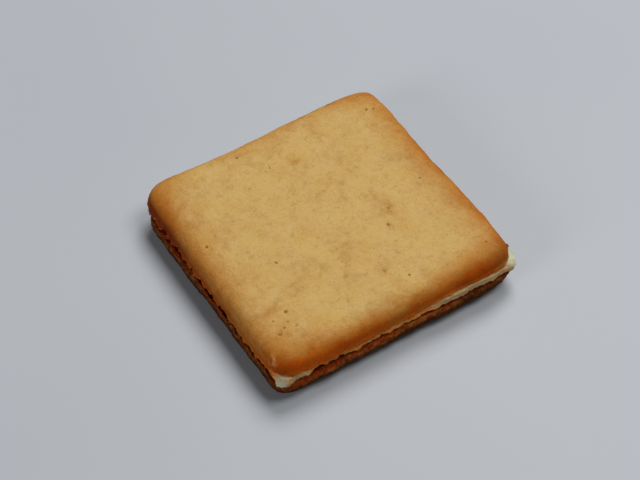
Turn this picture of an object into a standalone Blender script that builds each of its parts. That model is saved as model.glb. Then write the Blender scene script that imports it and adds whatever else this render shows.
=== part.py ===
"""A square maple butter cookie: two domed butter biscuits with firm cream between their flat faces.

Units are metres and +Z is up. The origin is the middle of the face that the cookie rests on. The corner
at -X -Y is the near corner of the reference view, and the side at -Y is the one where the cream shows.
"""

from math import atan2, cos, degrees, exp, hypot, log, log1p, pi, sin, sqrt

import bmesh
import bpy
from mathutils import Vector, noise

MM = 0.001
NEARLY_ZERO = 1e-5

# A biscuit's side, seen from above, and the radii of its corners in this order: near (-X -Y),
# right (+X -Y), far (+X +Y) and left (-X +Y)
SIDE = 55.0 * MM
TOP_CORNERS = (3.8 * MM, 6.0 * MM, 4.8 * MM, 4.6 * MM)
BOTTOM_CORNERS = (3.4 * MM, 4.8 * MM, 4.8 * MM, 8.0 * MM)
FILLING_CORNERS = (2.2 * MM, 4.4 * MM, 4.5 * MM, 6.0 * MM)

# Heights: a biscuit, the layer between the two flat faces, and the clearance that keeps the solids apart
BISCUIT_THICKNESS = 4.1 * MM
FILLING_LAYER = 1.8 * MM
SEAM = 0.3 * MM

# The two biscuits don't lie quite over each other: where the middle of each is
TOP_MIDDLE = (0.38 * MM, 0.42 * MM)
BOTTOM_MIDDLE = (-0.37 * MM, -0.28 * MM)

# A biscuit's edge, upwards from its flat face: a thin ragged lip, a short wall, then a soft shoulder
LIP_REACH = 0.30 * MM
LIP_HEIGHT = 0.55 * MM
WALL_HEIGHT = 1.15 * MM
SHOULDER_WIDTH = 4.6 * MM
SHOULDER_ROUNDNESS = 2.1

# How uneven the baked dough is: the depth and the width of each kind of lump
OUTLINE_WOBBLE, WOBBLE_WIDTH = 0.40 * MM, 17.0 * MM
SIDE_LUMP, SIDE_LUMP_WIDTH = 0.22 * MM, 3.5 * MM
LIP_CRAG, LIP_CRAG_WIDTH = 0.40 * MM, 2.2 * MM
LIP_CRAG_HEIGHT = 0.9 * MM
CROWN_SAG, CROWN_SAG_WIDTH = 0.30 * MM, 8.0 * MM
CROWN_SAG_START = 0.12

# The radius of the exactly level spot in the middle of a baked face
LEVEL_SPOT = 8.0 * MM

# Soft dimples in the baked face and dents in the outline: place (x, y), radius and depth, all in millimetres.
# A depth less than zero is a swelling
TOP_DIMPLES = (
    (2.1, 15.7, 1.6, 0.16),
    (9.4, 8.9, 1.9, 0.12),
    (9.4, -0.4, 1.8, 0.20),
    (11.2, -5.2, 1.5, 0.22),
    (-14.9, -11.1, 2.2, 0.14),
    (1.8, -17.8, 1.2, 0.14),
    (-19.3, -18.6, 1.3, 0.18),
    (-22.6, -20.1, 1.2, 0.16),
)
TOP_DENTS = (
    (-9.0, 27.5, 16.0, 0.70),
    (-15.0, 27.5, 17.0, 0.50),
    (27.5, 3.0, 13.0, 0.40),
    (-27.5, 3.0, 16.0, -0.40),
    (-28.5, 21.0, 6.0, -0.40),
)
BOTTOM_DIMPLES = (
    (-15.0, 11.0, 1.8, 0.18),
    (9.5, 17.5, 1.5, 0.14),
    (17.0, -9.0, 2.0, 0.16),
    (-11.5, -17.0, 1.6, 0.16),
)
BOTTOM_DENTS = (
    (4.0, -27.5, 11.0, 0.45),
    (19.0, -27.5, 9.0, 0.75),
    (-27.5, -7.0, 8.0, 0.20),
)

# The filling's edge: how far it stays behind the biscuits' rim, how much it bellies out, and how uneven it is
FILLING_RECESS = 0.70 * MM
FILLING_BELLY = 0.25 * MM
FILLING_LUMP, FILLING_LUMP_WIDTH = 0.40 * MM, 3.0 * MM

# Where the filling comes further out or stays further in: its direction from the middle and its half
# width, both in degrees, and its reach in millimetres. They are, in order, the bulge out of the right
# corner, the flush stretch of the front side, the stretch from there towards the near corner, the block
# at the near corner, the stretch that is set back along the left side, and the filled left corner
FILLING_LOBES = (
    (-43.8, 4.0, 1.10),
    (-61.0, 15.0, 0.75),
    (-103.0, 27.0, 0.40),
    (-134.3, 2.6, 1.25),
    (179.0, 34.0, -1.10),
    (136.0, 6.0, 0.60),
)

# Mesh sizes: cells across a face, rows up a side, and how much a face's cells crowd towards its edge
BISCUIT_CELLS = 36
BISCUIT_ROWS = 7
FILLING_CELLS = 48
FILLING_ROWS = 4
RING_CROWDING = 1.7

# Smoothing that makes an outline's contours pass through the middle of each rounded corner
CORNER_SOFTNESS = (1.0 - 1.0 / sqrt(2.0)) / log(2.0)

# Where each piece's lumps are taken from in the noise, and the angle over which an edge is shaded sharp
TOP_SEED, BOTTOM_SEED, FILLING_SEED = 11.0, 41.0, 23.0
SHARP_ANGLE = 0.9

COLOURS = {
    "biscuit": ((0.56, 0.32, 0.10, 1.0), 0.85),
    "cream": ((0.84, 0.80, 0.60, 1.0), 0.50),
}


def clear_scene():
    """Removes whatever the file held."""
    for obj in list(bpy.data.objects):
        bpy.data.objects.remove(obj, do_unlink=True)


def make_material(name):
    """A plain baked or creamy finish."""
    colour, roughness = COLOURS[name]
    material = bpy.data.materials.new(name)
    material.use_nodes = True
    shader = material.node_tree.nodes["Principled BSDF"]
    shader.inputs["Base Color"].default_value = colour
    shader.inputs["Roughness"].default_value = roughness
    shader.inputs["Metallic"].default_value = 0.0
    material.diffuse_color = colour
    return material


def lumps(x, y, z, size, seed):
    """Smooth noise from about -1 to 1 whose lumps are about size across."""
    shift = Vector((seed, 0.37 * seed, -0.61 * seed))
    return noise.noise(Vector((x, y, z)) / size + shift)


def hollows(x, y, places):
    """How deep a point lies in soft round hollows, each of a place, a radius and a depth in millimetres."""
    depth_here = 0.0
    for place_x, place_y, radius, depth in places:
        away = hypot(x - place_x * MM, y - place_y * MM) / (radius * MM)
        depth_here += depth * MM * exp(-away * away)
    return depth_here


def flipped(places):
    """The same hollows in the mesh of a piece that is made upside down and then turned over about X."""
    return [(x, -y, radius, depth) for x, y, radius, depth in places]


def slab(cells, rows, open_top):
    """A closed 2 x 2 x 2 block with rows up its sides. Its top is a grid, or one face like its underside."""
    mesh = bmesh.new()
    bmesh.ops.create_cube(mesh, size=2.0)
    level = [e for e in mesh.edges if abs(e.verts[0].co.z - e.verts[1].co.z) < 0.5]
    bmesh.ops.subdivide_edges(mesh, edges=level, cuts=cells - 1, use_grid_fill=True)
    upright = [e for e in mesh.edges if abs(e.verts[0].co.z - e.verts[1].co.z) > 0.5]
    bmesh.ops.subdivide_edges(mesh, edges=upright, cuts=rows - 1, use_grid_fill=True)
    mesh.normal_update()
    undersides = [f for f in mesh.faces if f.normal.z < -0.9]
    bmesh.ops.dissolve_faces(mesh, faces=undersides, use_verts=True)
    tops = [f for f in mesh.faces if f.normal.z > 0.9]
    if open_top:
        split_along_diagonals(mesh, tops)
    else:
        bmesh.ops.dissolve_faces(mesh, faces=tops, use_verts=True)
    return mesh


def split_along_diagonals(mesh, faces):
    """Cuts the cells on the square's diagonals from corner to middle: its round corners don't crease then."""
    for face in faces:
        on_diagonal = [v for v in face.verts if abs(abs(v.co.x) - abs(v.co.y)) < NEARLY_ZERO]
        if len(on_diagonal) == 2:
            bmesh.ops.connect_verts(mesh, verts=on_diagonal)


def corner_radius(x, y, corners):
    """The radius of the corner in whose quarter of the outline a point lies."""
    near, right, far, left = corners
    if y < 0.0:
        return near if x < 0.0 else right
    return left if x < 0.0 else far


def ring_point(u, v, corners):
    """Moves a point of the square -1..1 onto the rounded outline, ring by ring, and gives its ring too."""
    ring = max(abs(u), abs(v))
    if ring < NEARLY_ZERO:
        return 0.0, 0.0, 0.0
    radius = corner_radius(u, v, corners)
    x, y = abs(u) / ring * SIDE / 2, abs(v) / ring * SIDE / 2
    centre = SIDE / 2 - radius
    over_x, over_y = x - centre, y - centre
    if over_x > 0 and over_y > 0:
        turn = over_y / radius if over_x >= over_y else 2.0 - over_x / radius
        x = centre + radius * cos(turn * pi / 4)
        y = centre + radius * sin(turn * pi / 4)
    crowded = 1.0 - (1.0 - ring) ** RING_CROWDING
    return (x if u >= 0 else -x) * crowded, (y if v >= 0 else -y) * crowded, ring


def inset_of(x, y, corners):
    """How far a point lies inside the rounded outline; the contours inside it have rounded corners too."""
    softness = CORNER_SOFTNESS * corner_radius(x, y, corners)
    to_x, to_y = SIDE / 2 - abs(x), SIDE / 2 - abs(y)
    rounding = softness * log1p(exp(-abs(to_x - to_y) / softness))
    return max(0.0, min(to_x, to_y) - rounding)


def crown_height(inset):
    """Height of the baked face over the flat face: an elliptical shoulder that ends in a level top."""
    along = min(max((inset - LIP_REACH) / SHOULDER_WIDTH, 0.0), 1.0)
    rise = (1.0 - (1.0 - along) ** SHOULDER_ROUNDNESS) ** (1.0 / SHOULDER_ROUNDNESS)
    return WALL_HEIGHT + (BISCUIT_THICKNESS - WALL_HEIGHT) * rise


def crown_relief(x, y, inset, dimples, seed):
    """How far the baked face sinks below its level top; there is no relief in its middle or at its edge."""
    sag = CROWN_SAG * max(0.0, lumps(x, y, 0.0, CROWN_SAG_WIDTH, seed) - CROWN_SAG_START)
    off_level_spot = min(1.0, max(0.0, hypot(x, y) / LEVEL_SPOT - 1.0))
    return (sag + hollows(x, y, dimples)) * off_level_spot * min(1.0, inset / SHOULDER_WIDTH)


def rim_inset(height):
    """How far the side stands inside the outline at a height over the flat face: the lip, then the wall."""
    if height < LIP_HEIGHT:
        return LIP_REACH * (1.0 - height / LIP_HEIGHT) ** 2
    return LIP_REACH * min(1.0, (height - LIP_HEIGHT) / (WALL_HEIGHT - LIP_HEIGHT)) ** 0.5


def outline_shift(x, y, height, dents, seed):
    """How far the biscuit's outline stands out of a true rounded square, near its edge."""
    wobble = OUTLINE_WOBBLE * lumps(x, y, 0.0, WOBBLE_WIDTH, seed + 3.0)
    lump = SIDE_LUMP * lumps(x, y, height, SIDE_LUMP_WIDTH, seed + 5.0)
    near_lip = max(0.0, 1.0 - height / LIP_CRAG_HEIGHT)
    crag = LIP_CRAG * near_lip * lumps(x, y, 0.0, LIP_CRAG_WIDTH, seed + 7.0)
    return wobble + lump + crag - hollows(x, y, dents)


def biscuit_mesh(corners, dimples, dents, seed):
    """A biscuit with its flat face down at z = 0 and its baked face up."""
    mesh = slab(BISCUIT_CELLS, BISCUIT_ROWS, open_top=True)
    for vertex in mesh.verts:
        u, v, w = vertex.co
        x, y, ring = ring_point(u, v, corners)
        if w > 1.0 - NEARLY_ZERO:
            inward = LIP_REACH * ring
            inset = inset_of(x, y, corners)
            height = crown_height(inset + inward) - crown_relief(x, y, inset, dimples, seed)
        else:
            height = WALL_HEIGHT * (w + 1.0) / 2
            inward = rim_inset(height)
        outward = (outline_shift(x, y, height, dents, seed) - inward) * ring**4
        reach = hypot(x, y) or 1.0
        vertex.co = (x + outward * x / reach, y + outward * y / reach, height)
    return mesh


def filling_reach(x, y):
    """How far the filling's edge stands out of its own rounded square; less than zero is inside it."""
    direction = degrees(atan2(y, x))
    reach = FILLING_LUMP * lumps(x, y, 0.0, FILLING_LUMP_WIDTH, FILLING_SEED) - FILLING_RECESS
    for middle, half_width, lobe in FILLING_LOBES:
        away = (direction - middle + 180.0) % 360.0 - 180.0
        reach += lobe * MM * exp(-((away / half_width) ** 4))
    return reach


def filling_mesh(thickness):
    """The layer of cream: level faces, and a side that bellies out between the biscuits."""
    mesh = slab(FILLING_CELLS, FILLING_ROWS, open_top=False)
    for vertex in mesh.verts:
        u, v, w = vertex.co
        x, y, _ = ring_point(u, v, FILLING_CORNERS)
        outward = filling_reach(x, y) - FILLING_BELLY * w * w
        reach = hypot(x, y)
        vertex.co = (x + outward * x / reach, y + outward * y / reach, thickness * (w + 1.0) / 2)
    return mesh


def add_object(name, mesh, material, collection, place, rotation=(0.0, 0.0, 0.0)):
    """Makes the mesh an object, smooth over its soft forms and sharp at its rims."""
    mesh.normal_update()
    data = bpy.data.meshes.new(name)
    mesh.to_mesh(data)
    mesh.free()
    data.materials.append(material)
    data.shade_smooth()
    data.set_sharp_from_angle(angle=SHARP_ANGLE)
    obj = bpy.data.objects.new(name, data)
    obj.location = place
    obj.rotation_euler = rotation
    collection.objects.link(obj)
    return obj


def add_bottom_biscuit(collection, material):
    """The lower biscuit, baked face down and flat face up."""
    corners = tuple(reversed(BOTTOM_CORNERS))
    mesh = biscuit_mesh(corners, flipped(BOTTOM_DIMPLES), flipped(BOTTOM_DENTS), BOTTOM_SEED)
    place = (*BOTTOM_MIDDLE, BISCUIT_THICKNESS)
    return add_object("bottom_biscuit", mesh, material, collection, place, (pi, 0.0, 0.0))


def add_filling(collection, material):
    """The cream, which keeps to the upper biscuit's place."""
    place = (*TOP_MIDDLE, BISCUIT_THICKNESS + SEAM)
    return add_object("filling", filling_mesh(FILLING_LAYER - 2 * SEAM), material, collection, place)


def add_top_biscuit(collection, material):
    """The upper biscuit, flat face down and baked face up."""
    place = (*TOP_MIDDLE, BISCUIT_THICKNESS + FILLING_LAYER)
    mesh = biscuit_mesh(TOP_CORNERS, TOP_DIMPLES, TOP_DENTS, TOP_SEED)
    return add_object("top_biscuit", mesh, material, collection, place)


def main():
    clear_scene()
    collection = bpy.data.collections.new("maple_butter_cookie")
    bpy.context.scene.collection.children.link(collection)
    baked, creamy = make_material("biscuit"), make_material("cream")
    pieces = (
        add_bottom_biscuit(collection, baked),
        add_filling(collection, creamy),
        add_top_biscuit(collection, baked),
    )
    cookie = bpy.data.objects.new("cookie", None)
    collection.objects.link(cookie)
    for piece in pieces:
        piece.parent = cookie


main()
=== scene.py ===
"""Looks of the square maple butter cookie: its pieces, their materials, the floor, the light and the camera.

The form functions and their values repeat part.py, which isn't here when this script runs. Units are metres,
or millimetres where a comment says so.
"""

import random
from math import cos, log, pi, sin, sqrt

import bmesh
import bpy
import numpy as np
from mathutils import Matrix, Vector, noise


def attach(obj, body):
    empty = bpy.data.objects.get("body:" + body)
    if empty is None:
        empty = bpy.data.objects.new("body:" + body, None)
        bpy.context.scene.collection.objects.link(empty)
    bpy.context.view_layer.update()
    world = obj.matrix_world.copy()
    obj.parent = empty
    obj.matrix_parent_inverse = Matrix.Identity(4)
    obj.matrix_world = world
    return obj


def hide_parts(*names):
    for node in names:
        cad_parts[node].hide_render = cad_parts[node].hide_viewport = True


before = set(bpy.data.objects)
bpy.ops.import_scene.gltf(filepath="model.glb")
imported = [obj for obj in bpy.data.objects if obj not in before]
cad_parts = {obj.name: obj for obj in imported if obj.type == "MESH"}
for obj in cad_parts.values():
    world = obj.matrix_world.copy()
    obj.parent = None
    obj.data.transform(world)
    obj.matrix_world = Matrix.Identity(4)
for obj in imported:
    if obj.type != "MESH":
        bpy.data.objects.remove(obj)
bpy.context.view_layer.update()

MM = 0.001

# A biscuit's side, seen from above, and the radii of its corners in this order: near (-X -Y),
# right (+X -Y), far (+X +Y) and left (-X +Y)
SIDE = 55.0 * MM
TOP_CORNERS = (3.8 * MM, 6.0 * MM, 4.8 * MM, 4.6 * MM)
BOTTOM_CORNERS = (3.4 * MM, 4.8 * MM, 4.8 * MM, 8.0 * MM)
FILLING_CORNERS = (2.2 * MM, 4.4 * MM, 4.5 * MM, 6.0 * MM)

# Heights: a biscuit, and the layer between the two flat faces
BISCUIT_THICKNESS = 4.1 * MM
FILLING_LAYER = 1.8 * MM

# Where the middle of each biscuit is
TOP_MIDDLE = (0.38 * MM, 0.42 * MM)
BOTTOM_MIDDLE = (-0.37 * MM, -0.28 * MM)

# A biscuit's edge, upwards from its flat face: a thin ragged lip, a short wall, then a soft shoulder
LIP_REACH = 0.30 * MM
LIP_HEIGHT = 0.55 * MM
WALL_HEIGHT = 1.15 * MM
SHOULDER_WIDTH = 4.6 * MM
SHOULDER_ROUNDNESS = 2.1

# How uneven the baked dough is: the depth and the width of each kind of lump
OUTLINE_WOBBLE, WOBBLE_WIDTH = 0.40 * MM, 17.0 * MM
SIDE_LUMP, SIDE_LUMP_WIDTH = 0.22 * MM, 3.5 * MM
LIP_CRAG, LIP_CRAG_WIDTH = 0.40 * MM, 2.2 * MM
LIP_CRAG_HEIGHT = 0.9 * MM
CROWN_SAG, CROWN_SAG_WIDTH = 0.30 * MM, 8.0 * MM
CROWN_SAG_START = 0.12

# The radius of the level spot in the middle of a baked face
LEVEL_SPOT = 8.0 * MM

# Dimples in the baked face and dents in the outline, or swellings below zero: place (x, y), radius and depth
# in millimetres
TOP_DIMPLES = (
    (2.1, 15.7, 1.6, 0.16), (9.4, 8.9, 1.9, 0.12), (9.4, -0.4, 1.8, 0.20), (11.2, -5.2, 1.5, 0.22),
    (-14.9, -11.1, 2.2, 0.14), (1.8, -17.8, 1.2, 0.14), (-19.3, -18.6, 1.3, 0.18), (-22.6, -20.1, 1.2, 0.16),
)
TOP_DENTS = (
    (-9.0, 27.5, 16.0, 0.70), (-15.0, 27.5, 17.0, 0.50), (27.5, 3.0, 13.0, 0.40),
    (-27.5, 3.0, 16.0, -0.40), (-28.5, 21.0, 6.0, -0.40),
)
BOTTOM_DIMPLES = (
    (-15.0, 11.0, 1.8, 0.18), (9.5, 17.5, 1.5, 0.14),
    (17.0, -9.0, 2.0, 0.16), (-11.5, -17.0, 1.6, 0.16),
)
BOTTOM_DENTS = (
    (4.0, -27.5, 11.0, 0.45), (19.0, -27.5, 9.0, 0.75), (-27.5, -7.0, 8.0, 0.20),
)

# The filling's edge: how far it stays behind the rim, how much it bellies out, and how uneven it is
FILLING_RECESS = 0.70 * MM
FILLING_BELLY = 0.25 * MM
FILLING_LUMP, FILLING_LUMP_WIDTH = 0.40 * MM, 3.0 * MM

# Where the filling comes further out or stays in: direction and half width in degrees, reach in millimetres.
# In order: right bulge, flush front, rest of the front, near block, left side and left corner
FILLING_LOBES = (
    (-43.8, 4.0, 1.10), (-61.0, 15.0, 0.75), (-103.0, 27.0, 0.40),
    (-134.3, 2.6, 1.25), (179.0, 34.0, -1.10), (136.0, 6.0, 0.60),
)
RIGHT_BULGE, NEAR_BLOCK = FILLING_LOBES[0][:2], FILLING_LOBES[3][:2]

# Smoothing that makes an outline's contours pass through the middle of each rounded corner
CORNER_SOFTNESS = (1.0 - 1.0 / sqrt(2.0)) / log(2.0)

# Each piece's place in the noise
TOP_SEED, BOTTOM_SEED, FILLING_SEED = 11.0, 41.0, 23.0

# The fine meshes: cells across a face, their crowding towards its edge, rows up a side, and the insets of the
# rows under the rim in millimetres
CELLS = 250
CROWDING = 1.25
SIDE_ROWS = 14
UNDER_INSETS = (0.15, 0.35, 0.6, 0.9, 1.25, 1.7, 2.3, 3.2)
CREAM_CELLS = 240
CREAM_ROWS = 18
CROWN_POINTS = (CELLS + 1) ** 2
RIM_POINTS = 4 * CELLS

# Layers of finer noise: size of the lumps in millimetres, and seed, to which a biscuit adds its own
NOISE = {
    "browning": (7.0, 20.0),
    "fine browning": (2.0, 21.0),
    "grain": (0.85, 30.0),
    "fine grain": (0.42, 31.0),
    "broad grain": (2.6, 32.0),
    "wrinkle": (1.9, 33.0),
    "wrinkled part": (5.0, 34.0),
    "crumb": (1.1, 40.0),
    "fine crumb": (0.55, 41.0),
    "rag": (0.75, 42.0),
    "broad rag": (1.9, 43.0),
    "patch x": (1.5, 50.0),
    "patch y": (1.5, 51.0),
    "lip": (0.8, 71.0),
    "broad lip": (1.7, 72.0),
    "ledge": (0.9, 81.0),
    "broad ledge": (2.3, 82.0),
    "undercut": (1.3, FILLING_SEED + 3.0),
    "gap": (2.2, FILLING_SEED + 4.0),
    "fine gap": (0.9, FILLING_SEED + 5.0),
    "cream": (0.9, FILLING_SEED + 10.0),
    "fine cream": (0.4, FILLING_SEED + 11.0),
}


# -------- noise and form, as arrays

def lumps(x, y, z, size, seed):
    """Smooth noise from about -1 to 1 whose lumps are about size across."""
    shift = Vector((seed, 0.37 * seed, -0.61 * seed))
    return np.array([noise.noise(Vector(p) / size + shift) for p in zip(x.tolist(), y.tolist(), z.tolist())])


def layer(name, x, y, z=None, seed=0.0):
    """One of the layers in NOISE, the same at every height if there is no z."""
    size, offset = NOISE[name]
    return lumps(x, y, 0 * x if z is None else z, size * MM, seed + offset)


def clipped(values):
    return np.minimum(np.maximum(values, 0.0), 1.0)


def smooth(values, start, end):
    """0 before start, 1 after end, and a soft step between."""
    t = clipped((values - start) / (end - start))
    return t * t * (3.0 - 2.0 * t)


def past(values, start, end):
    """The same step for values in metres, with its ends in millimetres."""
    return smooth(values, start * MM, end * MM)


def spread(x, y, places, unit=1.0):
    """The sum of soft round places; each has a place (x, y) and a radius in millimetres, and a strength."""
    total = np.zeros_like(x)
    for place_x, place_y, radius, strength in places:
        away = np.hypot(x - place_x * MM, y - place_y * MM) / (radius * MM)
        total += strength * unit * np.exp(-away * away)
    return total


def hollows(x, y, places):
    return spread(x, y, places, MM)


def corner_radius(x, y, corners):
    near, right, far, left = corners
    return np.where(y < 0.0, np.where(x < 0.0, near, right), np.where(x < 0.0, left, far))


def ring_point(u, v, corners, crowding):
    """Points of the square -1..1 moved onto the rounded outline, and the ring of each."""
    ring = np.maximum(np.abs(u), np.abs(v))
    safe = np.maximum(ring, 1e-9)
    radius = corner_radius(u, v, corners)
    x, y = np.abs(u) / safe * SIDE / 2, np.abs(v) / safe * SIDE / 2
    centre = SIDE / 2 - radius
    over_x, over_y = x - centre, y - centre
    turn = np.where(over_x >= over_y, over_y / radius, 2.0 - over_x / radius)
    in_corner = (over_x > 0) & (over_y > 0)
    x = np.where(in_corner, centre + radius * np.cos(turn * pi / 4), x)
    y = np.where(in_corner, centre + radius * np.sin(turn * pi / 4), y)
    crowded = 1.0 - (1.0 - ring) ** crowding
    return np.where(u >= 0, x, -x) * crowded, np.where(v >= 0, y, -y) * crowded, ring


def inset_of(x, y, corners):
    softness = CORNER_SOFTNESS * corner_radius(x, y, corners)
    to_x, to_y = SIDE / 2 - np.abs(x), SIDE / 2 - np.abs(y)
    rounding = softness * np.log1p(np.exp(-np.abs(to_x - to_y) / softness))
    return np.maximum(0.0, np.minimum(to_x, to_y) - rounding)


def crown_height(inset):
    along = clipped((inset - LIP_REACH) / SHOULDER_WIDTH)
    rise = (1.0 - (1.0 - along) ** SHOULDER_ROUNDNESS) ** (1.0 / SHOULDER_ROUNDNESS)
    return WALL_HEIGHT + (BISCUIT_THICKNESS - WALL_HEIGHT) * rise


def crown_relief(x, y, inset, dimples, seed):
    sag = CROWN_SAG * np.maximum(0.0, lumps(x, y, 0 * x, CROWN_SAG_WIDTH, seed) - CROWN_SAG_START)
    off_level_spot = clipped(np.hypot(x, y) / LEVEL_SPOT - 1.0)
    return (sag + hollows(x, y, dimples)) * off_level_spot * clipped(inset / SHOULDER_WIDTH)


def rim_inset(height):
    low = LIP_REACH * (1.0 - height / LIP_HEIGHT) ** 2
    high = LIP_REACH * clipped((height - LIP_HEIGHT) / (WALL_HEIGHT - LIP_HEIGHT)) ** 0.5
    return np.where(height < LIP_HEIGHT, low, high)


def outline_shift(x, y, height, dents, seed):
    wobble = OUTLINE_WOBBLE * lumps(x, y, 0 * x, WOBBLE_WIDTH, seed + 3.0)
    lump = SIDE_LUMP * lumps(x, y, height, SIDE_LUMP_WIDTH, seed + 5.0)
    near_lip = clipped(1.0 - height / LIP_CRAG_HEIGHT)
    crag = LIP_CRAG * near_lip * lumps(x, y, 0 * x, LIP_CRAG_WIDTH, seed + 7.0)
    return wobble + lump + crag - hollows(x, y, dents)


def lobe(x, y, middle, half_width):
    """1 round a direction from the middle and 0 elsewhere, softly; both angles are in degrees."""
    away = (np.degrees(np.arctan2(y, x)) - middle + 180.0) % 360.0 - 180.0
    return np.exp(-((away / half_width) ** 4))


def filling_reach(x, y):
    """How far the filling's edge is outside the outline of its corners and side."""
    reach = FILLING_LUMP * lumps(x, y, 0 * x, FILLING_LUMP_WIDTH, FILLING_SEED) - FILLING_RECESS
    for middle, half_width, further in FILLING_LOBES:
        reach += further * MM * lobe(x, y, middle, half_width)
    return reach


# -------- mesh helpers

def grid_and_rim(cells):
    """u, v of a square grid on -1..1, its faces, and its rim's points counterclockwise."""
    g = np.linspace(-1.0, 1.0, cells + 1)
    u, v = np.meshgrid(g, g)
    index = np.arange((cells + 1) ** 2).reshape(cells + 1, cells + 1)
    a, b, c, d = index[:-1, :-1], index[:-1, 1:], index[1:, 1:], index[1:, :-1]
    faces = np.stack([a, b, c, d], -1).reshape(-1, 4)
    rim = np.concatenate([index[0, :-1], index[:-1, -1], index[-1, :0:-1], index[:0:-1, 0]])
    return u.ravel(), v.ravel(), faces, rim


def band(upper, lower):
    """The faces between two loops; seen from outside, the upper one runs counterclockwise."""
    return np.stack([upper, lower, np.roll(lower, -1), np.roll(upper, -1)], -1)


def moved_out(x, y, outward, z):
    """Points at height z, moved away from the middle."""
    reach = np.maximum(np.hypot(x, y), 1e-9)
    return np.stack([x + outward * x / reach, y + outward * y / reach, z], -1)


def loops_from(start, count, loops):
    """The point numbers of loops of count points each, from start on."""
    return [np.arange(start + k * count, start + (k + 1) * count) for k in range(loops)]


def add_object(name, data, material=None):
    """An object in the scene; a mesh gets its material too."""
    if material is not None:
        data.materials.append(material)
    obj = bpy.data.objects.new(name, data)
    bpy.context.scene.collection.objects.link(obj)
    return obj


def make_object(name, points, faces, caps, material):
    """A mesh object from quads and closing polygons."""
    data = bpy.data.meshes.new(name)
    data.from_pydata(points.tolist(), [], faces.tolist() + [list(map(int, cap)) for cap in caps])
    data.shade_smooth()
    data.update()
    return add_object(name, data, material)


def triples(collection, name):
    out = np.empty(len(collection) * 3)
    collection.foreach_get(name, out)
    return out.reshape(-1, 3)


def normals_of(obj):
    return triples(obj.data.vertex_normals, "vector")


def points_of(obj):
    return triples(obj.data.vertices, "co")


def set_points(obj, points):
    obj.data.vertices.foreach_set("co", points.ravel())
    obj.data.update()


def set_attributes(obj, **values):
    """Values for the points, which the materials read."""
    for name, value in values.items():
        made = obj.data.attributes.new(name, "FLOAT", "POINT")
        made.data.foreach_set("value", value.astype(np.float32))


def move_mesh(obj, place, turn=None):
    """Moves a piece's mesh; its object stays at the origin."""
    points = points_of(obj)
    if turn is not None:
        points = points @ np.array(turn).T
    set_points(obj, points + np.array(place))


# -------- biscuits

# Places on the upper biscuit: place (x, y) and radius in millimetres, and strength. First the dark dots
DOTS = (
    (-24.1, 5.4, 0.34, 1.0), (-7.4, 22.3, 0.42, 0.8), (-3.2, 16.6, 0.30, 0.8),
    (6.9, 19.3, 0.26, 0.7), (22.0, 19.9, 0.34, 1.0), (23.4, 19.4, 0.40, 0.8),
    (11.2, 11.4, 0.26, 0.6), (9.9, 14.3, 0.24, 0.5), (15.4, -0.9, 0.26, 0.7),
    (21.2, -0.2, 0.26, 0.6), (20.7, -1.6, 0.36, 0.6), (5.2, -21.1, 0.34, 0.9),
    (-9.3, -18.9, 0.26, 0.7), (22.5, -22.0, 0.34, 0.9), (22.6, 24.4, 0.36, 0.7),
    (-23.2, -1.0, 0.28, 0.6), (-14.8, -4.9, 0.45, 0.6), (-17.4, -1.2, 0.30, 0.5),
    (8.7, -8.5, 0.50, 0.8), (11.1, -4.9, 0.60, 0.6), (-19.4, -16.2, 0.45, 1.0),
    (-22.5, -16.9, 0.40, 0.6), (-19.2, -19.9, 0.60, 0.6), (-21.5, -19.3, 0.32, 0.9),
    (-20.2, -18.4, 0.32, 0.7), (-22.9, -20.1, 0.70, 0.7), (1.9, -15.4, 0.26, 0.7),
    (1.8, -17.8, 0.55, 0.6),
)
# Soft darker patches
PATCHES = (
    (2.1, 15.7, 1.5, 0.75), (9.3, 9.0, 2.3, 0.40), (12.6, 10.6, 2.2, 0.22),
    (8.9, -0.2, 1.3, 0.62), (10.6, -0.6, 1.0, 0.55), (11.1, -4.7, 1.1, 0.75),
    (11.0, -7.0, 1.8, 0.50), (8.7, -8.4, 0.8, 0.60), (-2.9, -5.1, 1.5, 0.42),
    (-1.9, -9.6, 1.5, 0.36), (-14.9, -11.1, 2.0, 0.45), (-14.8, -4.9, 0.9, 0.35),
    (1.8, -17.8, 0.9, 0.65), (-22.6, -20.1, 1.3, 0.45), (-20.6, -18.6, 1.6, 0.30),
    (-20.9, 16.0, 3.0, 0.20), (-16.0, 9.5, 3.2, 0.14), (-20.0, -6.0, 3.0, 0.16),
)
# Browner places on the shoulder, or paler ones below zero
BROWN_PLACES = (
    (-27.2, 19.5, 3.2, 0.13), (-27.2, 14.5, 2.6, 0.12), (-26.8, -12.5, 4.2, -0.13),
    (-26.8, -18.0, 3.0, -0.06), (-26.8, -25.2, 3.2, 0.26), (-6.0, -25.6, 4.0, -0.12),
    (0.0, -25.6, 4.0, -0.12), (4.5, -26.0, 3.0, -0.08), (16.0, -25.6, 4.0, 0.14),
    (20.0, -25.4, 4.0, 0.20),
)
# Painted shade: places low on the shoulder that are darker at the same hue
PAINTED_SHADE_PLACES = (
    (-26.8, -26.6, 2.6, 0.50), (14.5, -27.2, 1.8, 0.34), (18.5, -27.2, 2.2, 0.36),
    (23.0, -27.0, 2.6, 0.46), (26.6, -24.4, 2.4, 0.36),
)
# Pale flakes
FLAKES = (
    (8.3, 2.9, 0.45, 1.0), (7.9, 3.7, 0.35, 0.8), (-24.3, 6.6, 0.5, 0.5), (-24.5, 4.6, 0.4, 0.5),
)
# Tiny pores: how many, how far from the middle, radius and strength; lengths are in millimetres
PORE_COUNT, PORE_REACH = 260, 25.5
PORE_RADIUS, PORE_STRENGTH = (0.14, 0.32), (0.3, 1.0)
# The pale crumbly place by the near corner: place (x, y) and half widths, in millimetres
NEAR_PATCH, NEAR_PATCH_SIZE = (-26.65, -23.6), (0.75, 1.15)


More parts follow.
